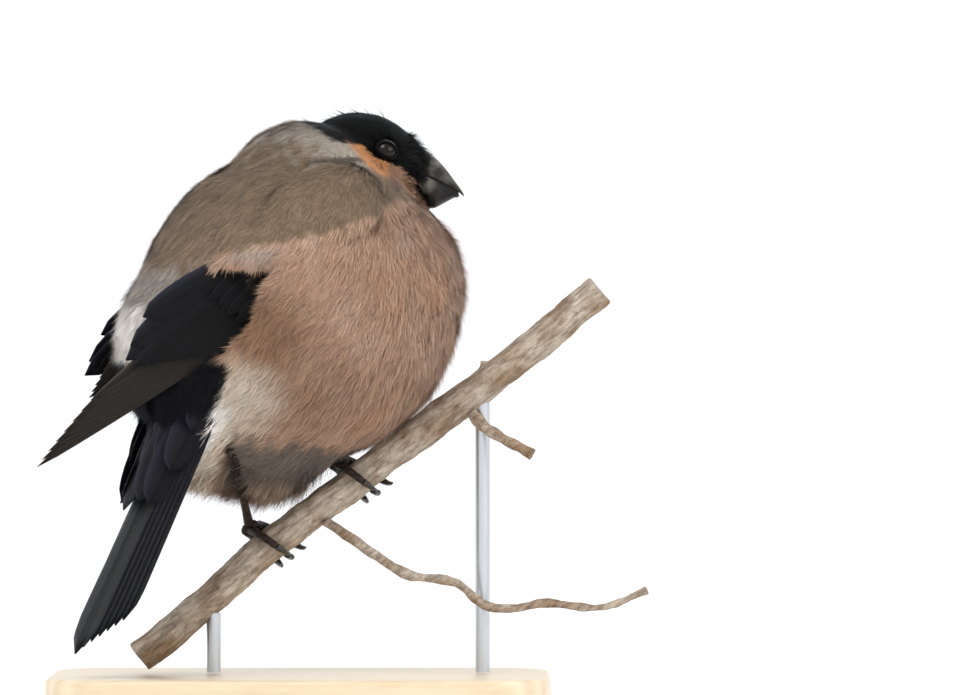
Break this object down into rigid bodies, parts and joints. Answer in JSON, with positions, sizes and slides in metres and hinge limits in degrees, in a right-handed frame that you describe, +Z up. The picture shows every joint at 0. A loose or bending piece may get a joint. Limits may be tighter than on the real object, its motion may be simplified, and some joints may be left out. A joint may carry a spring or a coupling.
{
  "type": "life-size still model of a female Eurasian bullfinch on a perch",
  "caption": "Life-size still model of a fluffed-up female bullfinch gripping a slanting bare perch, held by two rods on a flat display base.",
  "frame": {"origin": "the middle of the base's flat underside", "axes": "+Z is up, +X is the way the perch climbs and the bird looks, +Y points to the bird's far (left) side"},
  "size_m": [0.1258, 0.07, 0.1209],
  "materials": {
    "breast_plumage": "soft pinkish brown plumage",
    "mantle_plumage": "soft brown-grey plumage",
    "cap_plumage": "short glossy black plumage",
    "covert_plumage": "brown-grey wing coverts with pale tips",
    "vent_plumage": "cream white downy plumage",
    "flight_feather": "glossy blue-black flight feathers",
    "bill_horn": "dark grey horn, half gloss",
    "eye": "very dark brown, wet gloss",
    "leg_skin": "dark brown scaled skin",
    "claw_horn": "blackish horn",
    "bark": "dry grey-tan bark",
    "stand_wood": "pale maple, satin lacquer",
    "rod_steel": "fine brushed steel"
  },
  "bodies": {
    "root": {"torso": "breast_plumage", "neck": "mantle_plumage", "head": "cap_plumage", "bill_upper": "bill_horn", "bill_lower": "bill_horn", "eye_right": "eye", "eye_left": "eye", "wing_right": "covert_plumage", "wing_right_flight": "flight_feather", "wing_left": "covert_plumage", "wing_left_flight": "flight_feather", "tail": "flight_feather", "tail_coverts_upper": "flight_feather", "tail_coverts_under": "vent_plumage", "leg_right": "leg_skin", "foot_right": "leg_skin", "claw_right_1": "claw_horn", "claw_right_2": "claw_horn", "claw_right_3": "claw_horn", "claw_right_4": "claw_horn", "leg_left": "leg_skin", "foot_left": "leg_skin", "claw_left_1": "claw_horn", "claw_left_2": "claw_horn", "claw_left_3": "claw_horn", "claw_left_4": "claw_horn", "perch": "bark", "twig_long": "bark", "twig_stub": "bark", "stand_base": "stand_wood", "stand_rod_low": "rod_steel", "stand_rod_high": "rod_steel"}
  },
  "joints": []
}
